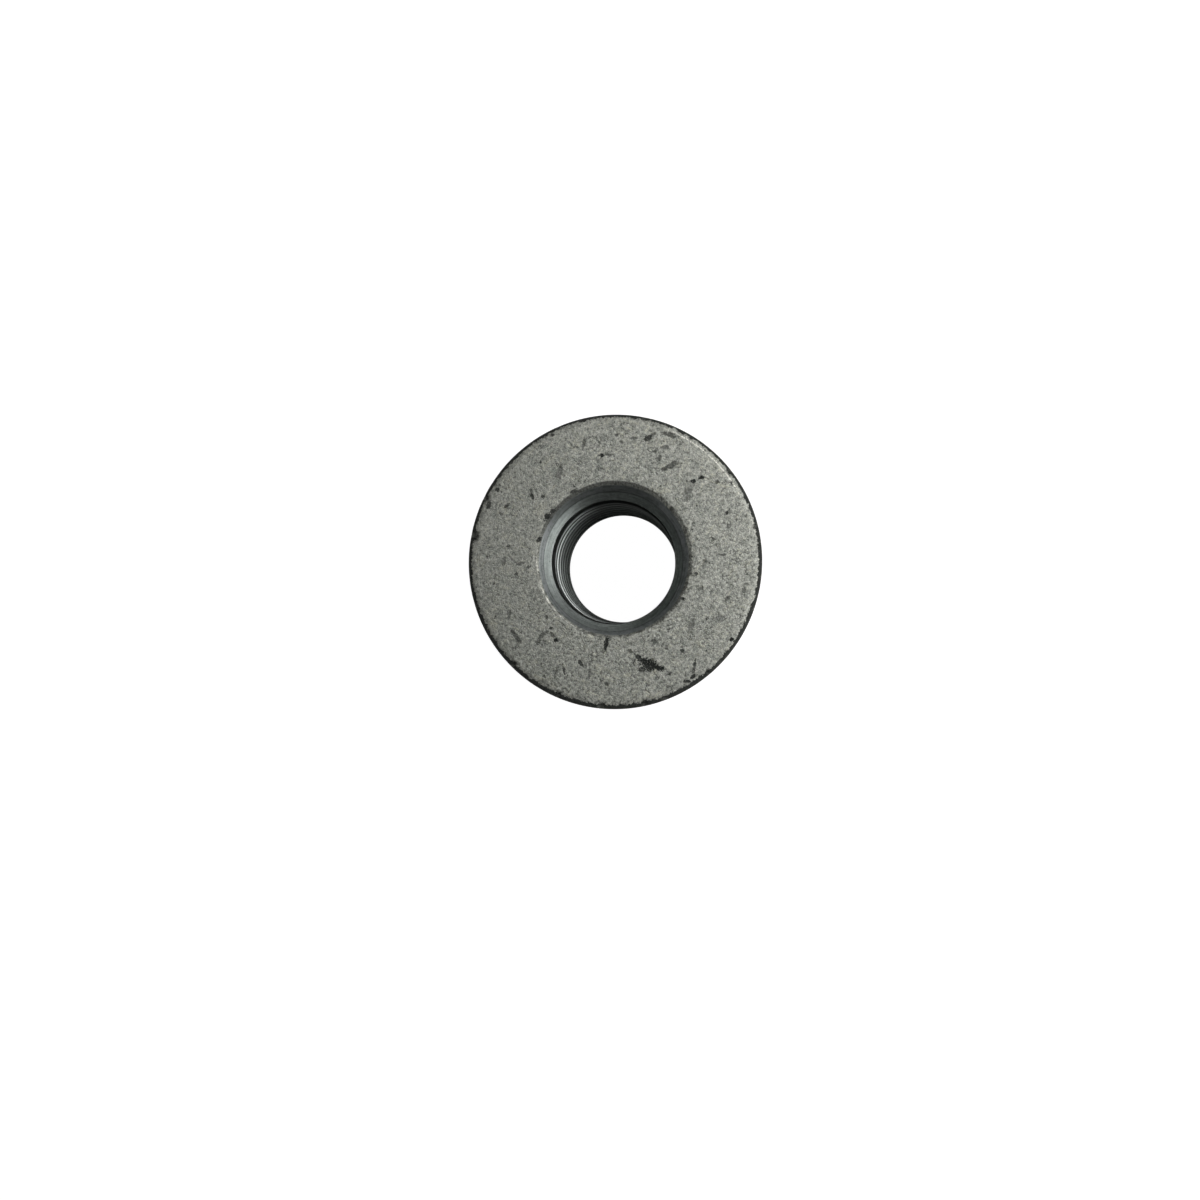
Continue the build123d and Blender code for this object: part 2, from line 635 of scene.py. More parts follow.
    def _drop_at(self, place: Vector) -> float:
        """How far the face's ripple, grain, scars and the burrs of its mouth sink it at a place.

        Args:
            place: the place in the plane of the face.

        Returns:
            The drop in millimetres.
        """
        s = self.sizes
        drop = self.ripple * noise_share(place * self.ripple_scale)
        for scale in self.grain_scales:
            drop += self.grain_depth * noise_share(place * scale)
        frayed = place + noise.noise_vector(place * self.scar_fray_scale) * self.scar_fray
        drop += max(scar.depth * scar.cover(frayed.x, frayed.y) for scar in SCARS)
        off_mouth = abs(hypot(place.x - s.mouth_offset[0], place.y - s.mouth_offset[1]) - s.mouth_radius)
        burred = noise_share(place * self.burr_scale + Vector(self.burr_shift))
        return drop + self.mouth_burr * burred * (1.0 - eased(off_mouth, *self.burr_fade))

    def _wear_edge(self, v: BMVert, radius: float, drop: float) -> None:
        """Take a vertex of the flange's edge down and in, by the uneven wear and the chips there.

        Args:
            v: the vertex.
            radius: its distance from the axis.
            drop: how far the face's own wear sinks it.
        """
        s = self.sizes
        angle = degrees(atan2(v.co.y, v.co.x))
        outward = Vector((v.co.x, v.co.y, 0.0)) / radius
        rolled = noise_share(outward * self.edge_roll_scale)
        fretted = noise_share(outward * self.edge_fret_scale)
        fray = self.chip_fray * noise.noise(outward * self.chip_fray_scale)
        at_edge = eased(radius, *(s.flange_radius - inward for inward in self.edge_fade))
        drop += at_edge * self.edge_wear * (rolled + self.edge_fret * fretted)
        for chip in CHIPS:
            inner = s.flange_radius - chip.inward - self.chip_margin
            drop += chip.cover(angle, fray) * chip.depth * eased(radius, inner, inner + self.chip_slope)
        low = s.height - s.flange_face_radius
        share = min(max((v.co.z - low) / s.flange_face_radius, 0.0), 1.0)
        v.co.z -= drop * share
        v.co -= outward * self.pushed_in * drop * at_edge * share

    def _mark_surfaces(self, bm: BMesh) -> None:
        """Give the bore and the cones the machined surface, and the rest the forged one.

        Args:
            bm: the worn blank.
        """
        s = self.sizes
        for face in bm.faces:
            centre = face.calc_center_median()
            radius = hypot(centre.x, centre.y)
            in_lead = radius < s.mouth_radius and centre.z < s.height - self.skin_depth
            in_end = radius < s.end_cone_radius - self.end_margin and centre.z > self.end_skin
            inside = in_lead if centre.z > s.height / 2 else in_end
            face.material_index = (Surface.MACHINED if inside else Surface.FORGED).value
            face.smooth = True


@dataclass
class Tap:
    """The cutter that leaves the thread's grooves in the bore.

    The flat at a groove's bottom, the turns it starts below the nut and what it is trimmed to there
    are in pitches, and the gap above its last turn is in millimetres.
    """

    sizes: NutSizes
    columns: int = 360
    start_angle: float = 200.0
    root_flat: float = 0.125
    turns_below: float = 2.0
    overshoot: float = 0.5
    end_gap: float = 1.75

    def build(self) -> BMesh:
        """Spin one zigzag flank line a pitch upward over a full turn, and trim its ends flat.

        Returns:
            The closed cutter, in millimetres.
        """
        s = self.sizes
        pitch = s.thread_pitch
        root_flat = self.root_flat * pitch
        ridge_radius = s.thread_radius - (pitch - root_flat) / 2 / tan(radians(s.thread_half_angle))
        low = -self.turns_below * pitch
        turns = int((s.height - low) / pitch) + 2
        bm = bmesh.new()
        verts = [bm.verts.new((ridge_radius, 0.0, low))]
        for turn in range(turns):
            base = low + turn * pitch
            for radius, height in (
                (s.thread_radius, base + (pitch - root_flat) / 2),
                (s.thread_radius, base + (pitch + root_flat) / 2),
                (ridge_radius, base + pitch),
            ):
                verts.append(bm.verts.new((radius, 0.0, height)))
        edges = [bm.edges.new(pair) for pair in zip(verts, verts[1:])]
        bmesh.ops.spin(
            bm, geom=verts + edges, cent=(0, 0, 0), axis=(0, 0, 1), angle=2 * pi, steps=self.columns,
            dvec=(0, 0, pitch / self.columns), use_merge=False, use_duplicate=False,
        )
        bmesh.ops.remove_doubles(bm, verts=bm.verts, dist=MERGED)
        turned = Matrix.Rotation(radians(self.start_angle), 3, "Z")
        bmesh.ops.rotate(bm, verts=bm.verts, cent=(0, 0, 0), matrix=turned)
        self._trim(bm, s.thread_top - self.end_gap, 1.0)
        self._trim(bm, -self.overshoot * pitch, -1.0)
        bmesh.ops.recalc_face_normals(bm, faces=bm.faces)
        for face in bm.faces:
            face.material_index = Surface.MACHINED.value
            face.smooth = True
        return bm

    @staticmethod
    def _trim(bm: BMesh, height: float, side: float) -> None:
        """Cut the cutter off level and close its end.

        Args:
            bm: the cutter's surface.
            height: where the end is.
            side: 1 to cut off what is above, -1 for what is below.
        """
        cut = bmesh.ops.bisect_plane(
            bm, geom=bm.verts[:] + bm.edges[:] + bm.faces[:], dist=1e-5,
            plane_co=(0, 0, height), plane_no=(0, 0, side), clear_outer=True,
        )
        rim = [e for e in cut["geom_cut"] if isinstance(e, BMEdge)]
        bmesh.ops.contextual_create(bm, geom=rim)


@dataclass
class WeldNut:
    """The whole nut: the worn blank with its thread cut, dressed in its two finishes."""

    sizes: NutSizes
    forged: "PlatedForging"
    machined: "MachinedSteel"
    name: str = "hex_nut"
    crease_angle: float = 38.0

    def build(self) -> Object:
        """Make the blank and cut the thread into it.

        Returns:
            The nut as one closed mesh in metres, at the origin.
        """
        nut = mesh_object(Blank(self.sizes).build(), self.name)
        cutter = mesh_object(Tap(self.sizes).build(), "tap")
        materials = (self.forged.material(), self.machined.material())
        for thing in (nut, cutter):
            for material in materials:
                thing.data.materials.append(material)
        self._cut(nut, cutter)
        nut.data.transform(Matrix.Scale(MM, 4))
        nut.data.set_sharp_from_angle(angle=radians(self.crease_angle))
        return nut

    @staticmethod
    def _cut(nut: Object, cutter: Object) -> None:
        """Take the cutter out of the nut and remove the cutter.

        Args:
            nut: the blank, whose mesh is replaced by the cut one.
            cutter: the closed shape to take away.
        """
        difference = nut.modifiers.new("thread", "BOOLEAN")
        difference.operation = "DIFFERENCE"
        difference.solver = "EXACT"
        difference.material_mode = "INDEX"
        difference.object = cutter
        bpy.context.view_layer.update()
        seen = nut.evaluated_get(bpy.context.evaluated_depsgraph_get())
        cut = bpy.data.meshes.new_from_object(seen)
        whole = bmesh.new()
        whole.from_mesh(cut)
        bmesh.ops.remove_doubles(whole, verts=whole.verts, dist=MERGED)
        bmesh.ops.triangulate(whole, faces=[face for face in whole.faces if len(face.verts) > 4])
        whole.to_mesh(cut)
        whole.free()
        nut.modifiers.clear()
        blank = nut.data
        nut.data = cut
        cut.name = nut.name
        bpy.data.meshes.remove(blank)
        bpy.data.objects.remove(cutter)

    def place(self, nut: Object) -> None:
        """Seat the nut in the frame, in place of its plain solid.

        Args:
            nut: the finished mesh.
        """
        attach(nut, NUT_BODY)
        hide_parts(NUT_NODE)


# --- Shader effects ----------------------------------------------------------------------


class Nodes:
    """Short ways of adding and joining nodes in one node tree."""

    def __init__(self, tree: NodeTree) -> None:
        """Work in this tree."""
        self.tree = tree

    def feed(self, socket: NodeSocket, value: Value) -> None:
        """Link another socket to this one, or set its value.

        Args:
            socket: the input to feed.
            value: the socket to link, or the value to set.
        """
        if isinstance(value, NodeSocket):
            self.tree.links.new(value, socket)
        else:
            socket.default_value = value

    def add(self, kind: str, inputs: dict | None = None, **settings: object) -> Node:
        """Add one node.

        Args:
            kind: the node's type.
            inputs: values or sockets for its inputs, by name or number.
            settings: its own properties.

        Returns:
            The new node.
        """
        node = self.tree.nodes.new(kind)
        for name, setting in settings.items():
            setattr(node, name, setting)
        for key, value in (inputs or {}).items():
            self.feed(node.inputs[key], value)
        return node

    def math(self, operation: str, *values: Value) -> NodeSocket:
        """Result of a Math node on these values."""
        return self.add("ShaderNodeMath", dict(enumerate(values)), operation=operation).outputs[0]

    def plus(self, first: Value, second: Value) -> NodeSocket:
        """Sum of two values."""
        return self.math("ADD", first, second)

    def less(self, first: Value, second: Value) -> NodeSocket:
        """The first value less the second."""
        return self.math("SUBTRACT", first, second)

    def times(self, first: Value, *others: Value) -> NodeSocket:
        """Product of all the values."""
        return reduce(partial(self.math, "MULTIPLY"), others, first)

    def most(self, first: Value, *others: Value) -> NodeSocket:
        """Largest of all the values."""
        return reduce(partial(self.math, "MAXIMUM"), others, first)

    def vector(self, operation: str, *values: Value) -> Node:
        """A Vector Math node on these values."""
        return self.add("ShaderNodeVectorMath", dict(enumerate(values)), operation=operation)

    def shifted(self, place: Value, offset: Value) -> NodeSocket:
        """Coordinates moved by an offset."""
        return self.vector("ADD", place, offset).outputs[0]

    def length(self, vector: Value) -> NodeSocket:
        """Length of a vector."""
        return self.vector("LENGTH", vector).outputs["Value"]

    def off_axis(self, place: Value) -> NodeSocket:
        """Distance of a place from the Z axis."""
        return self.length(self.vector("MULTIPLY", place, (1.0, 1.0, 0.0)).outputs[0])

    def place_in_mm(self) -> NodeSocket:
        """Object coordinates in millimetres."""
        seat = self.add("ShaderNodeTexCoord").outputs["Object"]
        return self.add("ShaderNodeVectorMath", {0: seat, "Scale": TO_MM}, operation="SCALE").outputs[0]

    def step(self, value: Value, low: Value, high: Value, start: float = 0.0, end: float = 1.0) -> NodeSocket:
        """Smooth change from one value to another as the input passes from low to high.

        Args:
            value: the input.
            low: where the change starts.
            high: where it is complete.
            start: the result up to low.
            end: the result past high.

        Returns:
            The socket that carries the result.
        """
        inputs = {0: value, 1: low, 2: high, 3: start, 4: end}
        return self.add("ShaderNodeMapRange", inputs, interpolation_type="SMOOTHSTEP").outputs[0]

    def mix(self, share: Value, first: Value, second: Value) -> NodeSocket:
        """Mix of two colours by a share of the second."""
        return self.add("ShaderNodeMix", {0: share, 6: first, 7: second}, data_type="RGBA").outputs[2]

    def noise(self, place: Value, scale: Value, detail: float = 2.0, roughness: float = 0.5) -> NodeSocket:
        """Value of a noise texture at a place."""
        inputs = {"Vector": place, "Scale": scale, "Detail": detail, "Roughness": roughness}
        return self.add("ShaderNodeTexNoise", inputs).outputs[0]


class Effect(Enum):
    """Shader effects that the finishes share, by the name of the node group and of its inputs."""

    MOTTLE = ("plating_mottle", "Vector", "Scale")
    SPECKS = ("dark_specks", "Vector", "Scale", "Size", "Share")
    BLOTCH = ("dark_blotches", "Vector", "Scale", "Share", "Blur")
    SCUFFS = ("fine_scuffs", "Vector", "Stretch", "Turn", "Scale", "Width", "Gaps", "Share")
    SCAR = ("scar_stain", "Vector", "Centre", "Half Size", "Turn", "Ragged", "Stain")
    BAND = ("ring_band", "Vector", "Centre", "Radius", "Half Width", "Blur")


VECTOR_INPUTS = ("Vector", "Stretch", "Centre", "Half Size")


class EffectLibrary:
    """Builds each effect's node group once and places it in materials."""

    def __init__(self) -> None:
        """Start with no group built."""
        self._groups: dict[Effect, NodeTree] = {}
        self._makers = {
            Effect.MOTTLE: self._mottle,
            Effect.SPECKS: self._specks,
            Effect.BLOTCH: self._blotch,
            Effect.SCUFFS: self._scuffs,
            Effect.SCAR: self._scar,
            Effect.BAND: self._band,
        }

    def place(self, nodes: Nodes, effect: Effect, **inputs: Value) -> Node:
        """Place an effect in a material.

        Args:
            nodes: the material's nodes.
            effect: which effect.
            inputs: its inputs by name, with underscores for spaces.

        Returns:
            The group node, whose outputs carry the effect.
        """
        if effect not in self._groups:
            self._groups[effect] = self._group(effect)
        node = nodes.add("ShaderNodeGroup", node_tree=self._groups[effect])
        for name, value in inputs.items():
            nodes.feed(node.inputs[name.replace("_", " ")], value)
        return node

    def _group(self, effect: Effect) -> NodeTree:
        """Build an effect's node group, with the outputs that its maker names.

        Args:
            effect: which effect.

        Returns:
            The node group.
        """
        group_name, *input_names = effect.value
        tree = bpy.data.node_groups.new(group_name, "ShaderNodeTree")
        for name in input_names:
            kind = "NodeSocketVector" if name in VECTOR_INPUTS else "NodeSocketFloat"
            tree.interface.new_socket(name=name, in_out="INPUT", socket_type=kind)
        nodes = Nodes(tree)
        given = nodes.add("NodeGroupInput").outputs
        results = self._makers[effect](nodes, *(given[name] for name in input_names))
        for name in results:
            tree.interface.new_socket(name=name, in_out="OUTPUT", socket_type="NodeSocketFloat")
        nodes.add("NodeGroupOutput", results)
        return tree

    @staticmethod
    def _mottle(n: Nodes, at: NodeSocket, scale: NodeSocket) -> dict[str, NodeSocket]:
        """Uneven crystals of the plating: broad clouds, grain of every size and small bright flecks.

        Args:
            n: the group's nodes.
            at: the place.
            scale: how fine the grain is.

        Returns:
            The three values by name.
        """
        sparks = n.noise(n.shifted(at, (31.0, 17.0, 5.0)), n.times(scale, 2.2), 1.0, 0.6)
        return {
            "Cloud": n.noise(at, n.times(scale, 0.3), 2.0, 0.5),
            "Grain": n.noise(at, scale, 3.0, 0.95),
            "Fleck": n.step(sparks, 0.64, 0.72),
        }

    @staticmethod
    def _specks(
        n: Nodes, at: NodeSocket, scale: NodeSocket, size: NodeSocket, share: NodeSocket,
    ) -> dict[str, NodeSocket]:
        """Small round pits of uneven size, of which only some cells have one.

        Args:
            n: the group's nodes.
            at: the place.
            scale: how many cells there are in a millimetre.
            size: the largest pit's radius as a share of a cell.
            share: how many of the cells have a pit.

        Returns:
            The mask by name.
        """
        wander = n.times(n.noise(at, 5.0, 1.0, 0.5), 0.6)
        cells = n.add("ShaderNodeTexVoronoi", {"Vector": n.shifted(at, wander), "Scale": scale}, feature="F1")
        pick = n.add("ShaderNodeSeparateColor", {0: cells.outputs["Color"]})
        reach = n.times(size, n.plus(pick.outputs[1], 0.35))
        inside = n.step(cells.outputs["Distance"], n.times(reach, 0.45), reach, 1.0, 0.0)
        return {"Mask": n.times(inside, n.math("LESS_THAN", pick.outputs[0], share))}

    @staticmethod
    def _blotch(
        n: Nodes, at: NodeSocket, scale: NodeSocket, share: NodeSocket, blur: NodeSocket,
    ) -> dict[str, NodeSocket]:
        """Small ragged blotches, where the skin under the plating shows through.

        Args:
            n: the group's nodes.
            at: the place.
            scale: how fine the blotches are.
            share: how much they cover.
            blur: how soft their edges are.

        Returns:
            The mask by name.
        """
        wander = n.noise(at, n.times(scale, 1.4), 1.0, 0.5)
        skin = n.noise(n.shifted(at, wander), scale, 2.0, 0.6)
        low = n.less(0.8, share)
        return {"Mask": n.step(skin, low, n.plus(low, blur))}

    @staticmethod
    def _scuffs(
        n: Nodes, at: NodeSocket, stretch: NodeSocket, turn: NodeSocket, scale: NodeSocket,
        width: NodeSocket, gaps: NodeSocket, share: NodeSocket,
    ) -> dict[str, NodeSocket]:
        """Thin marks, broken up along their length: straight where stretched, else curling like worms.

        Args:
            n: the group's nodes.
            at: the place.
            stretch: the factors that draw the marks out.
            turn: the direction that they run in.
            scale: how close together they are.
            width: how wide they are.
            gaps: how often they are broken.
            share: how much of their length is left.

        Returns:
            The mask by name.
        """
        turned = n.add("ShaderNodeVectorRotate", {"Vector": at, "Angle": turn}, rotation_type="Z_AXIS")
        stretched = n.vector("MULTIPLY", turned.outputs[0], stretch).outputs[0]
        off_line = n.math("ABSOLUTE", n.less(n.noise(stretched, scale, 1.0, 0.5), 0.5))
        low = n.less(1.0, share)
        shown = n.step(n.noise(at, gaps, 1.0, 0.5), low, n.plus(low, 0.08))
        return {"Mask": n.times(n.step(off_line, 0.0, width, 1.0, 0.0), shown)}

    @staticmethod
    def _scar(
        n: Nodes, at: NodeSocket, centre: NodeSocket, half_size: NodeSocket, turn: NodeSocket,
        ragged: NodeSocket, stain: NodeSocket,
    ) -> dict[str, NodeSocket]:
        """The stain of one long or round scar.

        Args:
            n: the group's nodes.
            at: the place.
            centre: the middle of the scar.
            half_size: its half length, half width and half depth.
            turn: the direction of its length.
            ragged: how far the edge is moved in here.
            stain: how dark it is.

        Returns:
            The mask by name.
        """
        away = n.vector("SUBTRACT", at, centre).outputs[0]
        turned = n.add(
            "ShaderNodeVectorRotate", {"Vector": away, "Angle": turn}, rotation_type="Z_AXIS", invert=True,
        )
        far = n.plus(n.length(n.vector("DIVIDE", turned.outputs[0], half_size).outputs[0]), ragged)
        return {"Mask": n.times(n.step(far, 0.88, 1.05, 1.0, 0.0), stain)}

    @staticmethod
    def _band(
        n: Nodes, at: NodeSocket, centre: NodeSocket, radius: NodeSocket, half_width: NodeSocket,
        blur: NodeSocket,
    ) -> dict[str, NodeSocket]:
        """A ring about an upright line.

        Args:
            n: the group's nodes.
            at: the place.
            centre: a point of the line.
            radius: the ring's radius.
            half_width: half its width.
            blur: how far its edges fade out.

        Returns:
            The mask by name.
        """
        away = n.vector("SUBTRACT", at, centre).outputs[0]
        off = n.math("ABSOLUTE", n.less(n.off_axis(away), radius))
        return {"Mask": n.step(off, half_width, n.plus(half_width, blur), 1.0, 0.0)}


# --- Finishes ----------------------------------------------------------------------------


class Coat(Nodes):
    """One material in the making: its nodes, its surface shader and the place on the nut in millimetres."""

    def __init__(self, name: str, effects: EffectLibrary) -> None:
        """Start a material.

        Args:
            name: the material's name.
            effects: the effects that it may use.
        """
        self.material = bpy.data.materials.new(name)
        self.material.use_nodes = True
        super().__init__(self.material.node_tree)
        self.effects = effects
        self.shader = next(node for node in self.tree.nodes if node.type == "BSDF_PRINCIPLED")
        self.at = self.place_in_mm()
        self.x, self.y, self.height = self.add("ShaderNodeSeparateXYZ", {0: self.at}).outputs
        self.radius = self.off_axis(self.at)

    def toward(self, x: float, y: float) -> NodeSocket:
        """How far the place lies in a level direction."""
        return self.vector("DOT_PRODUCT", self.at, (x, y, 0.0)).outputs["Value"]

    def mottle(self, scale: float) -> list[NodeSocket]:
        """Cloud, grain and fleck of the plating."""
        return self.effects.place(self, Effect.MOTTLE, Vector=self.at, Scale=scale).outputs[:]

    def mask(self, effect: Effect, **inputs: Value) -> NodeSocket:
        """Mask of an effect with these inputs."""
        return self.effects.place(self, effect, Vector=self.at, **inputs).outputs["Mask"]

    def finish(
        self, colour: Value, roughness: Value, metallic: Value, height: Value, bump: float,
    ) -> Material:
        """Feed the surface shader.

        Args:
            colour: the base colour.
            roughness: the roughness.
            metallic: how much of the surface is bare metal.
            height: the height of the fine relief, in millimetres.
            bump: how strongly the relief shows.

        Returns:
            The finished material.
        """
        relief = self.add("ShaderNodeBump", {"Height": height, "Strength": bump, "Distance": MM}).outputs[0]
        inputs = {"Base Color": colour, "Roughness": roughness, "Metallic": metallic, "Normal": relief}
        for name, value in inputs.items():
            self.feed(self.shader.inputs[name], value)
        return self.material


@dataclass(frozen=True)
class PlatedForging:
    """Dull zinc over a forged skin: mottled grey with flecks, dark pits, stains and faint scuffs."""

    effects: EffectLibrary
    sizes: NutSizes
    dark: tuple = (0.21, 0.22, 0.195, 1.0)
    light: tuple = (0.82, 0.83, 0.76, 1.0)
    warm_fleck: tuple = (0.9, 0.88, 0.68, 1.0)
    # Colour of the painted highlights on the mouth's edge and the rim
    wear_and_highlight: tuple = (0.97, 0.96, 0.86, 1.0)
    # Dark colour of the pits and stains, and of the painted shade at the rim and the mouth
    stain: tuple = (0.024, 0.028, 0.024, 1.0)
    grain_scale: float = 3.1
    grain_gain: float = 3.7
    quiet_grain_gain: float = 2.775
    cloud_gain: float = 0.35
    roughness: float = 0.48
    roughness_spread: float = 0.08

    def material(self) -> Material:
        """Make the material.

        Returns:
            The finish for everything that was forged.
        """
        c = Coat("plated_forging", self.effects)
        cloud, grain, fleck = c.mottle(self.grain_scale)
        above = c.less(grain, 0.5)
        gain = c.step(c.toward(-1.0, 0.0), 2.0, 11.0, self.grain_gain, self.quiet_grain_gain)
        tone = c.plus(c.times(above, gain), c.times(c.less(cloud, 0.5), self.cloud_gain))
        colour = c.mix(c.plus(tone, 0.5), self.dark, self.light)
        bright = c.most(c.times(fleck, 0.5), c.times(self._scratches(c), 0.4))
        wear_and_highlight = self._wear_and_highlight(c)
        # Painted highlights on the lit sides of the mouth's edge and the rim
        colour = c.mix(wear_and_highlight, c.mix(bright, colour, self.warm_fleck), self.wear_and_highlight)
        pits = self._pits(c)
        # Real pits and stains, together with the painted shade at the rim and the mouth
        dirt_and_shade = c.most(pits, self._stains(c), self._grime_and_painted_shade(c))
        low, high = self.roughness - self.roughness_spread, self.roughness + self.roughness_spread
        rough = c.plus(c.step(grain, 0.35, 0.65, low, high), c.times(dirt_and_shade, 0.3))
        return c.finish(
            colour=c.mix(dirt_and_shade, colour, self.stain),
            roughness=c.less(rough, c.times(wear_and_highlight, 0.28)),
            metallic=c.less(1.0, c.times(dirt_and_shade, 0.7)),
            height=c.less(c.times(above, 0.2), c.times(pits, 0.06)),
            bump=0.5,
        )

    def _pits(self, c: Coat) -> NodeSocket:
        """Dark pits everywhere: small ragged ones, broad faint ones, round dots and curled marks.

        Args:
            c: the material in the making.

        Returns:
            The mask of the pits.
        """
        fine = c.mask(Effect.BLOTCH, Scale=4.0, Share=0.162, Blur=0.02)
        crowd = c.noise(c.shifted(c.at, (9.0, 4.0, 0.0)), 0.45, 1.0)
        broad = c.mask(Effect.BLOTCH, Scale=1.1, Share=0.15, Blur=0.1)
        dots = c.mask(Effect.SPECKS, Scale=0.85, Size=0.19, Share=0.4)
        worms = c.mask(
            Effect.SCUFFS, Stretch=(0.6, 1.0, 1.0), Turn=0.6, Scale=2.0, Width=0.05, Gaps=0.9, Share=0.41,
        )
        return c.most(
            c.times(fine, c.step(crowd, 0.42, 0.6, 0.45, 0.95)),
            c.times(broad, 0.2),
            c.times(dots, 0.85),
            c.times(worms, 0.62),
        )

    def _scratches(self, c: Coat) -> NodeSocket:
        """Light scratches in two directions.

        Args:
            c: the material in the making.

        Returns:
            The mask of the scratches.
        """
        return c.most(*(
            c.mask(
                Effect.SCUFFS, Stretch=(0.06, 1.0, 1.0), Turn=radians(turn), Scale=scale,
                Width=0.03, Gaps=0.16 * scale, Share=share,
            )
            for turn, scale, share in ((-52.0, 4.0, 0.48), (24.0, 3.0, 0.44))
        ))

    def _grime_and_painted_shade(self, c: Coat) -> NodeSocket:
        """Painted shade round the flange's rim, wider towards its lower left, and along the mouth's edge
        towards its upper left, with patches of grime along the mouth's edge.

        Args:
            c: the material in the making.

        Returns:
            The mask of the painted shade and the grime.
        """
        s = self.sizes
        ragged = c.less(c.noise(c.at, 2.2, 3.0, 0.75), 0.5)
        # Painted shade: the rim's dark band reaches further in towards the lower left
        reach = c.plus(c.radius, c.times(c.toward(-0.55, -0.8), 0.006))
        layers = []
        for fray, inward, blur, depth in ((0.9, 0.45, 0.06, 0.95), (2.4, 0.12, 0.07, 0.92)):
            start = s.flange_radius - inward
            layers.append(c.step(c.plus(reach, c.times(ragged, fray)), start, start + blur, 0.0, depth))
        near_face = c.step(c.plus(c.height, ragged), s.height - 1.0, s.height - 0.3)
        mouth = c.mask(
            Effect.BAND, Centre=(*s.mouth_offset, 0.0), Radius=s.mouth_radius - 0.12, Half_Width=0.16,
            Blur=0.14,
        )
        # Painted shade on the mouth's edge towards its upper left
        upper_left = c.step(c.toward(-0.35, 0.94), 0.25 * s.mouth_radius, 0.9 * s.mouth_radius, 0.0, 0.75)
        # Patches of grime along the mouth's edge
        patch = c.step(c.noise(c.at, 1.3, 2.0, 0.6), 0.45, 0.6, 0.0, 0.6)
        return c.most(c.times(c.most(*layers), near_face), c.times(mouth, c.most(patch, upper_left)))

    def _wear_and_highlight(self, c: Coat) -> NodeSocket:
        """Painted highlights on the mouth's edge and the rim, each on the side turned to the key light and
        broken up where the edge is worn.

        Args:
            c: the material in the making.

        Returns:
            The mask of the painted highlights.
        """
        s = self.sizes
        bands = []
        for centre, radius, side, start, most in (
            (s.mouth_offset, s.mouth_radius + 0.02, 203.0, 0.7, 1.0),
            ((0.0, 0.0), s.flange_radius - 0.66, 47.0, 0.9, 0.8),
        ):
            band = c.mask(Effect.BAND, Centre=(*centre, 0.0), Radius=radius, Half_Width=0.03, Blur=0.07)
            # Only the side turned to the key light gets the painted highlight
            facing = c.toward(cos(radians(side)), sin(radians(side)))
            bands.append(c.times(band, c.step(facing, start * radius, 0.97 * radius, 0.0, most)))
        worn = c.step(c.noise(c.at, 2.6, 3.0, 0.8), 0.43, 0.5)
        on_face = c.step(c.height, s.height - 0.7, s.height - 0.5)
        return c.times(c.most(*bands), worn, on_face)

    def _stains(self, c: Coat) -> NodeSocket:
        """Dark stain in the scars and chips, with bits of bright skin left in it.

        Args:
            c: the material in the making.

        Returns:
            The mask of all stains together.
        """
        s = self.sizes
        marks = [
            (scar.x, scar.y, scar.length / 2 + 0.05, scar.width / 2 + 0.07, scar.turn, scar.stain**0.7)
            for scar in SCARS
        ]
        for chip in CHIPS:
            turn = radians(chip.angle)
            out = s.flange_radius - chip.inward / 2
            across = out * radians(chip.reach) / 2
            marks.append((out * cos(turn), out * sin(turn), chip.inward / 2 + 0.1, across, chip.angle, 0.85))
        ragged = c.times(c.less(c.noise(c.at, 4.2, 3.0, 0.8), 0.5), 2.4)
        stained = c.most(*(
            c.mask(
                Effect.SCAR, Centre=(x, y, s.height), Half_Size=(along, across, 0.8), Turn=radians(turn),
                Ragged=ragged, Stain=stain,
            )
            for x, y, along, across, turn, stain in marks
        ))
        return c.times(stained, c.step(c.noise(c.at, 7.0, 1.0, 0.5), 0.6, 0.66, 1.0, 0.65))


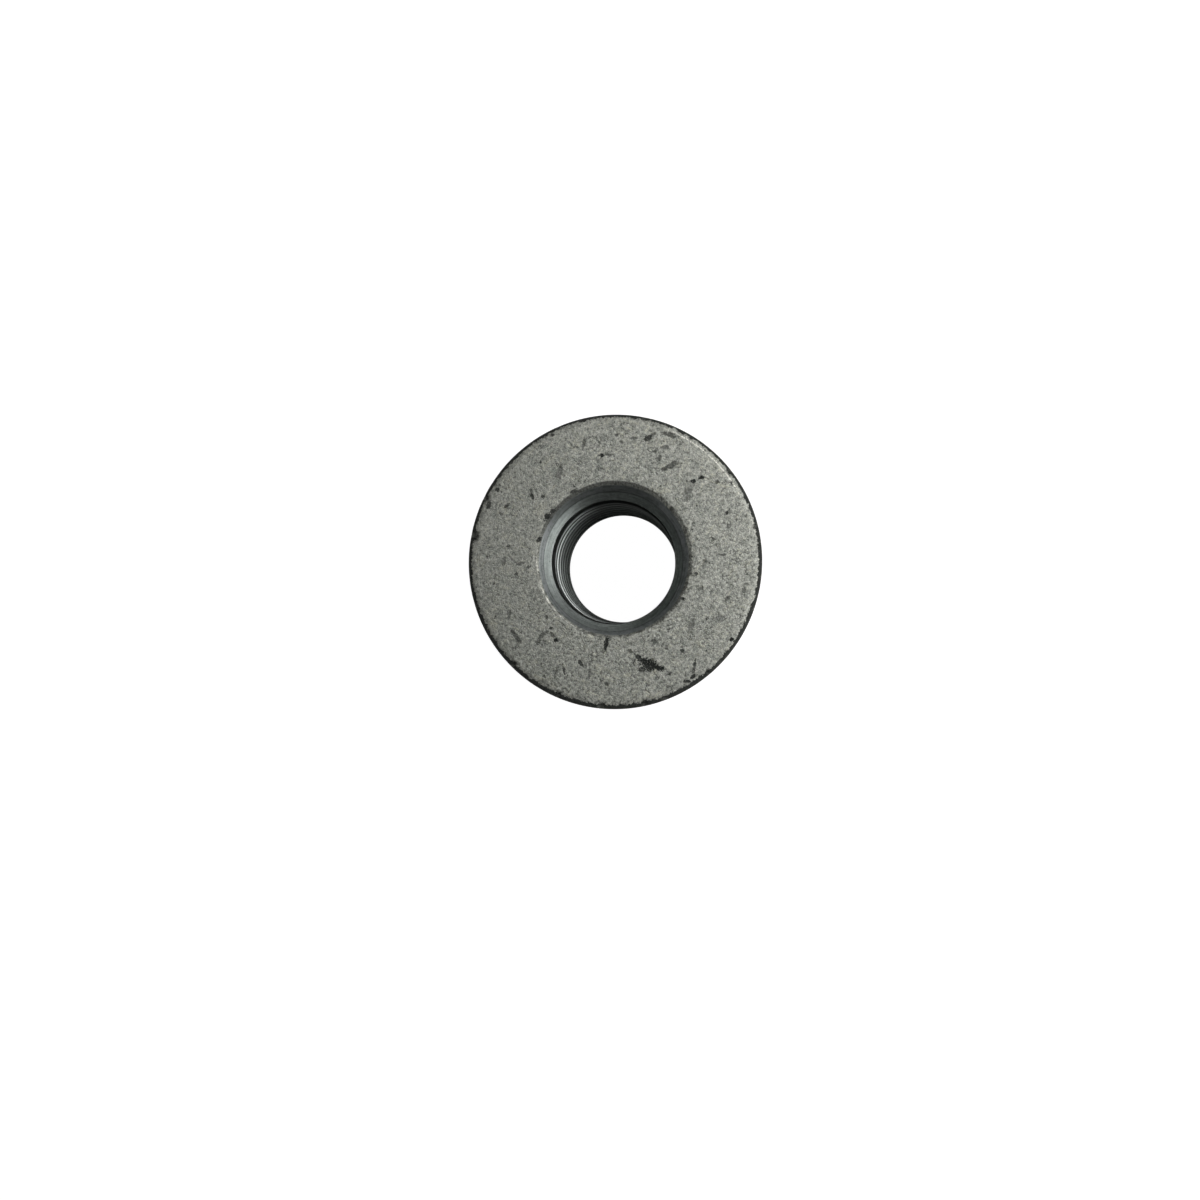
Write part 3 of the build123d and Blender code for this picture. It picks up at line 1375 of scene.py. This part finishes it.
@dataclass(frozen=True)
class MachinedSteel:
    """Cut steel under thin plating: smoother, faintly blue, with the lines that the tools left."""

    effects: EffectLibrary
    sizes: NutSizes
    dark: tuple = (0.27, 0.3, 0.285, 1.0)
    light: tuple = (0.47, 0.51, 0.49, 1.0)
    skin: tuple = (0.46, 0.48, 0.49, 1.0)
    # Colour of the painted highlight on the thread's upper crests
    crest_highlight: tuple = (0.8, 0.84, 0.82, 1.0)
    # Dark colour of the specks and of the painted shade in the bore and on the cones
    stain: tuple = (0.05, 0.055, 0.05, 1.0)
    roughness: float = 0.4
    roughness_spread: float = 0.05

    def material(self) -> Material:
        """Make the material.

        Returns:
            The finish for the bore, its thread and the cones.
        """
        s = self.sizes
        c = Coat("machined_steel", self.effects)
        slant = c.plus(c.radius, c.height)
        inputs = {"W": slant, "Scale": 9.0, "Detail": 2.0}
        lines = c.add("ShaderNodeTexNoise", inputs, noise_dimensions="1D").outputs[0]
        grain = c.mottle(2.2)[1]
        streaks = self._streaks(c, slant)
        shade = c.plus(c.plus(c.times(lines, 0.25), c.times(grain, 0.35)), c.times(streaks, 0.4))
        cut = c.mix(c.step(shade, 0.4, 0.6), self.dark, self.light)
        ragged = c.plus(c.height, c.times(c.noise(c.at, 2.0), 0.1))
        edge = s.lead_in_height + 0.05
        uncut = c.step(ragged, edge - 0.03, edge + 0.03)
        patchy = c.plus(c.times(grain, 0.5), c.times(streaks, 0.5))
        colour = c.mix(c.times(uncut, 0.85), cut, self._skin(c, patchy))
        # Painted highlight: the crests are lighter near the top of the bore and fade with depth
        crest = c.step(c.radius, s.bore_radius + 0.07, s.bore_radius + 0.11, 1.0, 0.0)
        shallow = c.step(c.height, 5.0, s.thread_top - 2.8)
        colour = c.mix(c.times(crest, shallow), colour, self.crest_highlight)
        specks = c.mask(Effect.SPECKS, Scale=1.6, Size=0.16, Share=0.3)
        # Real specks, together with painted shade in the grooves, deep in the bore and on its upper side
        dirt_and_shade = c.most(c.times(specks, 0.6), self._groove_shade(c), self._upper_bore_shade(c, uncut))
        low, high = self.roughness - self.roughness_spread, self.roughness + self.roughness_spread
        return c.finish(
            colour=c.mix(dirt_and_shade, colour, self.stain),
            roughness=c.plus(c.step(grain, 0.35, 0.65, low, high), c.times(uncut, 0.12)),
            metallic=1.0,
            height=c.times(lines, 0.04),
            bump=0.3,
        )

    def _streaks(self, c: Coat, slant: NodeSocket) -> NodeSocket:
        """Streaks drawn out round the axis, as a turning tool leaves them.

        Args:
            c: the material in the making.
            slant: the radius and the height together.

        Returns:
            The value of the streaks.
        """
        around = c.math("ARCTAN2", c.times(c.y, -1.0), c.times(c.x, -1.0))
        drawn = c.add("ShaderNodeCombineXYZ", {0: c.times(around, 3.0), 1: c.times(slant, 3.5)})
        return c.noise(drawn.outputs[0], 1.0, 3.0, 0.75)

    def _skin(self, c: Coat, patchy: NodeSocket) -> NodeSocket:
        """Colour of the forged cone, which no tool has cut, with painted shade on its upper side.

        Args:
            c: the material in the making.
            patchy: the value that its patches follow.

        Returns:
            The colour.
        """
        tone = c.mix(c.step(patchy, 0.4, 0.56), self.dark, self.skin)
        # Painted shade towards the cone's upper side
        return c.mix(c.step(c.toward(-0.25, 0.97), 3.0, 6.6, 0.0, 0.7), tone, self.stain)

    def _upper_bore_shade(self, c: Coat, uncut: NodeSocket) -> NodeSocket:
        """Painted shade on the bore's upper side, lighter on the machined cone.

        Args:
            c: the material in the making.
            uncut: the mask of the forged cone, which has none.

        Returns:
            The mask of the painted shade.
        """
        s = self.sizes
        upper = c.step(c.toward(0.42, 0.91), 3.0, 4.9, 0.0, 0.7)
        in_bore = c.step(c.height, s.thread_top - 0.1, s.thread_top + 0.1, 1.0, 0.3)
        return c.times(upper, in_bore, c.less(1.0, uncut))

    def _groove_shade(self, c: Coat) -> NodeSocket:
        """Painted shade in the thread's grooves, by the relief and deep in the bore, and a line of it where
        the cones meet.

        Args:
            c: the material in the making.

        Returns:
            The mask of the painted shade.
        """
        s = self.sizes
        relief_low, relief_high = s.thread_top - 1.8, s.thread_top - 1.7
        # Painted shade in the roots of the grooves, weaker in the relief
        grooved = c.step(c.radius, s.bore_radius + 0.08, s.bore_radius + 0.12, 0.0, 0.95)
        grooved = c.times(grooved, c.step(c.height, relief_low, relief_high, 1.0, 0.2))
        # Painted shade in a ring next to the relief
        ring = c.step(c.radius, s.bore_radius + 0.015, s.bore_radius + 0.04)
        ring = c.times(ring, c.step(c.height, relief_low, relief_high, 0.0, 0.15))
        # Painted shade that darkens the bore towards its bottom
        deep = c.step(c.height, 5.5, 10.0, 0.75, 0.0)
        below = c.step(c.height, s.thread_top + 0.02, s.thread_top + 0.08, 1.0, 0.0)
        # Painted shade in the crease where the two cones meet
        off_crease = c.math("ABSOLUTE", c.less(c.height, s.lead_in_height + 0.04))
        crease = c.step(off_crease, 0.01, 0.07, 0.45, 0.0)
        return c.most(c.times(c.most(grooved, deep, ring), below), crease)


# --- Studio ------------------------------------------------------------------------------


@dataclass(frozen=True)
class Softbox:
    """A large soft light: its direction from the nut, distance and size in metres, and brightness."""

    name: str
    azimuth: float
    elevation: float
    distance: float
    width: float
    height: float
    radiance: float

    def build(self, target: Vector) -> Object:
        """Hang the light, facing the nut.

        Args:
            target: the point that it faces.

        Returns:
            The light's object.
        """
        light = bpy.data.lights.new(self.name, "AREA")
        light.shape = "RECTANGLE"
        light.size = self.width
        light.size_y = self.height
        light.energy = self.radiance * pi * self.width * self.height
        thing = bpy.data.objects.new(self.name, light)
        bpy.context.scene.collection.objects.link(thing)
        across, up = radians(self.azimuth), radians(self.elevation)
        outward = Vector((cos(up) * cos(across), cos(up) * sin(across), sin(up)))
        thing.location = target + outward * self.distance
        thing.rotation_euler = outward.to_track_quat("Z", "Y").to_euler()
        thing.visible_camera = False
        return thing


@dataclass
class Studio:
    """Plain white studio: the floor, the soft lights, the surroundings and the camera.

    Lengths are in millimetres, and the camera's eye and aim start from the middle of the face.
    """

    sizes: NutSizes

    # The floor, as the camera sees it within the clear radius and past it
    floor_radius: float = 600.0
    floor_segments: int = 96
    clear_radius: float = 9.0
    clear_fade: float = 1.0
    glow: tuple = (1.0, 0.9)
    white_part: tuple = (0.0, 0.6)
    contact_gap: float = 0.1

    # The floor as the nut's reflections show it, dim near the nut and lighter past it
    dim_radii: tuple = (10.5, 15.0)
    dim_tones: tuple = (0.02, 0.55)

    # The light from all round, by how far up or down it comes from
    horizon: float = 0.02
    sky: float = 0.12
    sky_rise: tuple = (0.25, 0.6)
    under: float = 0.5
    under_fall: tuple = (-0.3, -0.1)
    white: tuple = (1.0, 1.0, 1.0, 1.0)

    # The camera and the lights
    eye: tuple = (7.502, -5.079, 72.75)
    aim: tuple = (-1.147, -3.835, 0.0)
    lens: float = 22.265
    sensor: float = 36.0
    softboxes: tuple[Softbox, ...] = (
        Softbox("key_softbox", 32.0, 50.0, 0.17, 0.14, 0.10, 1.6),
        Softbox("side_softbox", -8.0, 14.0, 0.20, 0.36, 0.06, 2.1),
        Softbox("back_softbox", 78.0, 12.0, 0.22, 0.28, 0.06, 0.75),
        Softbox("low_softbox", -16.0, 40.0, 0.20, 0.16, 0.05, 1.15),
        Softbox("top_softbox", 78.0, 73.0, 0.24, 0.16, 0.16, 0.79),
        Softbox("fill_softbox", 180.0, 35.0, 0.30, 0.2, 0.12, 0.08),
    )

    def build(self) -> None:
        """Set up the floor, lights, surroundings, camera and colour handling."""
        self._floor()
        target = Vector((0.0, 0.0, self.sizes.height * MM))
        for softbox in self.softboxes:
            softbox.build(target)
        self._surroundings()
        self._camera()
        bpy.context.scene.view_settings.view_transform = "Standard"

    def _floor(self) -> None:
        """Lay the floor: bright to the camera, dim in the nut's reflections and see-through from below.

        It also lets light up to the end face that stands on it, so that this face isn't black from below.
        """
        bm = bmesh.new()
        bmesh.ops.create_circle(
            bm, cap_ends=True, segments=self.floor_segments, radius=self.floor_radius * MM,
        )
        floor = mesh_object(bm, "floor")
        material = bpy.data.materials.new("white_floor")
        material.use_nodes = True
        material.node_tree.nodes.clear()
        n = Nodes(material.node_tree)
        path = n.add("ShaderNodeLightPath").outputs
        far = n.length(n.place_in_mm())
        edge = (self.clear_radius, self.clear_radius + self.clear_fade)
        glow = n.add("ShaderNodeEmission", {"Strength": n.step(far, *edge, *self.glow)})
        shade = n.add("ShaderNodeBsdfDiffuse", {"Color": n.step(far, *edge, *self.white_part)})
        seen = n.add("ShaderNodeAddShader", {0: glow.outputs[0], 1: shade.outputs[0]})
        tone = n.step(far, *self.dim_radii, *self.dim_tones)
        hidden = n.add("ShaderNodeBsdfDiffuse", {"Color": tone})
        lit = self._blend(n, path["Is Camera Ray"], hidden, seen)
        touching = n.math("LESS_THAN", path["Ray Length"], self.contact_gap * MM)
        open_to = n.most(n.add("ShaderNodeNewGeometry").outputs["Backfacing"], touching)
        both = self._blend(n, open_to, lit, n.add("ShaderNodeBsdfTransparent"))
        n.add("ShaderNodeOutputMaterial", {"Surface": both.outputs[0]})
        floor.data.materials.append(material)

    def _surroundings(self) -> None:
        """White to the camera, and to all else a dim sky, a darker horizon and light from below."""
        world = bpy.data.worlds.new("studio")
        world.use_nodes = True
        world.node_tree.nodes.clear()
        n = Nodes(world.node_tree)
        path = n.add("ShaderNodeLightPath").outputs
        shown = n.add("ShaderNodeBackground", {"Color": self.white, "Strength": 1.0})
        up = n.add("ShaderNodeSeparateXYZ", {0: n.add("ShaderNodeTexCoord").outputs["Generated"]}).outputs[2]
        above = n.step(up, *self.sky_rise, self.horizon, self.sky)
        glow = n.plus(above, n.step(up, *self.under_fall, self.under, 0.0))
        dim = n.add("ShaderNodeBackground", {"Color": self.white, "Strength": glow})
        mixed = self._blend(n, path["Is Camera Ray"], dim, shown)
        n.add("ShaderNodeOutputWorld", {"Surface": mixed.outputs[0]})
        bpy.context.scene.world = world

    @staticmethod
    def _blend(n: Nodes, share: NodeSocket, first: Node, second: Node) -> Node:
        """Mix of two shaders by a share of the second."""
        return n.add("ShaderNodeMixShader", {0: share, 1: first.outputs[0], 2: second.outputs[0]})

    def _camera(self) -> None:
        """Stand the camera above the flange, a little to one side of the axis, with +Y up."""
        camera = bpy.data.cameras.new("camera")
        camera.lens = self.lens
        camera.sensor_width = self.sensor
        camera.clip_start = 0.001
        camera.clip_end = 10.0
        thing = bpy.data.objects.new("camera", camera)
        face = Vector((0.0, 0.0, self.sizes.height))
        eye = (Vector(self.eye) + face) * MM
        ahead = ((Vector(self.aim) + face) * MM - eye).normalized()
        right = ahead.cross(Vector((0.0, 1.0, 0.0))).normalized()
        turn = Matrix((right, right.cross(ahead), -ahead)).transposed()
        thing.matrix_world = Matrix.Translation(eye) @ turn.to_4x4()
        bpy.context.scene.collection.objects.link(thing)
        bpy.context.scene.camera = thing


def report(piece: Object) -> None:
    """Log a finished piece.

    Args:
        piece: the object whose name and mesh are logged.
    """
    triangles = sum(len(polygon.vertices) - 2 for polygon in piece.data.polygons)
    LOG.info("%s: %d vertices, %d triangles", piece.name, len(piece.data.vertices), triangles)


def main() -> None:
    """Build the nut and the studio."""
    logging.basicConfig(level=logging.INFO, format="%(name)s: %(message)s")
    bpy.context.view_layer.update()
    sizes = NutSizes.from_frame()
    effects = EffectLibrary()
    nut = WeldNut(sizes, PlatedForging(effects, sizes), MachinedSteel(effects, sizes))
    piece = nut.build()
    nut.place(piece)
    report(piece)
    Studio(sizes).build()


if __name__ == "__main__":
    main()
